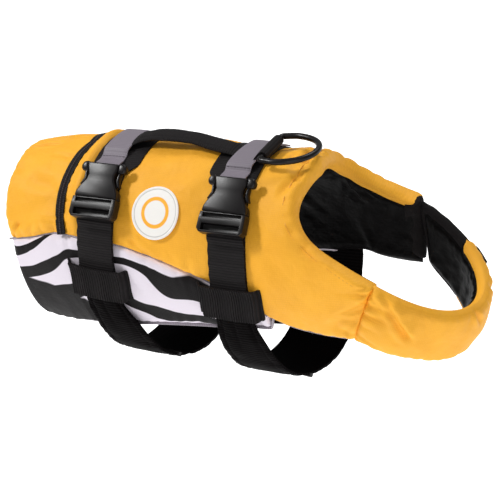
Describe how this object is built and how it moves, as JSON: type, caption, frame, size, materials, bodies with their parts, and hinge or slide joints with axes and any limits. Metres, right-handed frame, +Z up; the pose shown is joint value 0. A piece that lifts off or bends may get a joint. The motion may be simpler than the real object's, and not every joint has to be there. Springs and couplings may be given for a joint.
{
  "type": "dog life jacket",
  "caption": "Dog life jacket in its worn shape: foam panels over back and flanks, a chest band, two buckled belly belts, a grab handle and a hinged leash ring.",
  "frame": {"origin": "on the lining at the top of the mid-back, where the wearer's back carries the jacket", "axes": "+X to the wearer's front, -Y to its right side, where the buckles are, and +Z up"},
  "size_m": [0.4785, 0.184, 0.2376],
  "materials": {
    "main_shell": "coated nylon cloth over foam",
    "rear_shell": "coated nylon cloth over foam",
    "lower_panel_near": "printed nylon cloth over foam",
    "lower_panel_far": "printed nylon cloth over foam",
    "body_lining": "nylon webbing and lining",
    "seam_tape": "nylon webbing and lining",
    "chest_band": "coated nylon cloth over foam",
    "chest_lining": "nylon webbing and lining",
    "closure_tab": "nylon webbing and lining",
    "closure_webbing": "nylon webbing and lining",
    "round_patch": "woven patch",
    "rear_strap_base": "nylon webbing and lining",
    "rear_strap_top": "reflective nylon webbing",
    "rear_strap_tail": "nylon webbing and lining",
    "rear_belly_band": "nylon webbing and lining",
    "rear_keeper": "nylon webbing and lining",
    "rear_buckle_socket": "moulded acetal",
    "rear_buckle_plug": "moulded acetal",
    "front_strap_base": "nylon webbing and lining",
    "front_strap_top": "reflective nylon webbing",
    "front_strap_tail": "nylon webbing and lining",
    "front_belly_band": "nylon webbing and lining",
    "front_keeper": "nylon webbing and lining",
    "front_buckle_socket": "moulded acetal",
    "front_buckle_plug": "moulded acetal",
    "handle": "nylon webbing and lining",
    "ring_tab": "nylon webbing and lining",
    "leash_ring": "moulded acetal"
  },
  "bodies": {
    "jacket": {"main_shell": "main_shell", "rear_shell": "rear_shell", "lower_panel_near": "lower_panel_near", "lower_panel_far": "lower_panel_far", "body_lining": "body_lining", "seam_tape": "seam_tape", "chest_band": "chest_band", "chest_lining": "chest_lining", "closure_tab": "closure_tab", "closure_webbing": "closure_webbing", "round_patch": "round_patch", "rear_strap_base": "rear_strap_base", "rear_strap_top": "rear_strap_top", "rear_strap_tail": "rear_strap_tail", "rear_belly_band": "rear_belly_band", "rear_keeper": "rear_keeper", "rear_buckle_socket": "rear_buckle_socket", "rear_buckle_plug": "rear_buckle_plug", "front_strap_base": "front_strap_base", "front_strap_top": "front_strap_top", "front_strap_tail": "front_strap_tail", "front_belly_band": "front_belly_band", "front_keeper": "front_keeper", "front_buckle_socket": "front_buckle_socket", "front_buckle_plug": "front_buckle_plug", "handle": "handle", "ring_tab": "ring_tab"},
    "leash_ring_body": {"leash_ring": "leash_ring"}
  },
  "joints": [
    {"name": "leash_ring_hinge", "type": "hinge", "parent": "jacket", "child": "leash_ring_body", "pos_m": [0.068, 0, 0.0281], "axis": [0, -1, 0], "range_deg": [-4, 95]}
  ]
}
